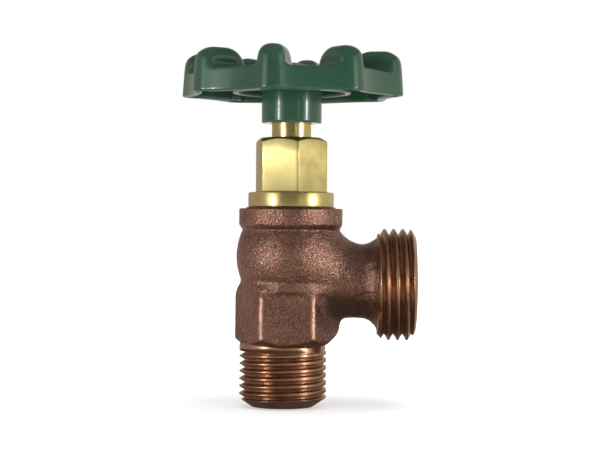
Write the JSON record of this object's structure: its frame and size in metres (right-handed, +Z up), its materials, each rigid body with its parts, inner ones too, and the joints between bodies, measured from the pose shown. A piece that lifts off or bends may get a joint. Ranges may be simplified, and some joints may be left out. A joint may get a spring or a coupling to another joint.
{
  "type": "boiler drain valve",
  "caption": "Angle drain valve: male pipe inlet below, male hose outlet at the side, rising stem through a packing nut, and a lobed handwheel that opens it.",
  "frame": {"origin": "centre of the inlet's end face, on the inlet axis", "axes": "+Z up the inlet axis towards the handwheel, +X along the hose outlet, +Y away from the front flat of the wrench hexagon"},
  "size_m": [0.0577, 0.0537, 0.0856],
  "materials": {
    "cast_bronze": "sand cast, threads machined bright",
    "yellow_brass": "machined, satin",
    "stem_brass": "turned, bright",
    "packing": "graphited packing, matt",
    "washer_rubber": "matt",
    "green_enamel": "gloss enamel on a die casting",
    "screw_steel": "zinc plated"
  },
  "bodies": {
    "valve_body": {"body": "cast_bronze", "packing_nut": "yellow_brass", "friction_ring": "yellow_brass", "packing_ring_1": "packing", "packing_ring_2": "packing", "packing_ring_3": "packing"},
    "washer": {"seat_washer": "washer_rubber"},
    "spindle": {"stem": "stem_brass", "seat_screw": "stem_brass", "handwheel": "green_enamel", "handle_screw": "screw_steel"}
  },
  "joints": [
    {"name": "stem_rise", "type": "slide", "parent": "valve_body", "child": "washer", "axis": [0, 0, 1], "range_m": [0, 0.00423]},
    {"name": "handle_turn", "type": "hinge", "parent": "washer", "child": "spindle", "pos_m": [0.00185, 0, 0.0801], "axis": [0, 0, 1], "range_deg": [0, 720.1]}
  ],
  "couplings": [
    {"joint": "handle_turn", "follows": "stem_rise", "rad_per_m": 2968}
  ]
}
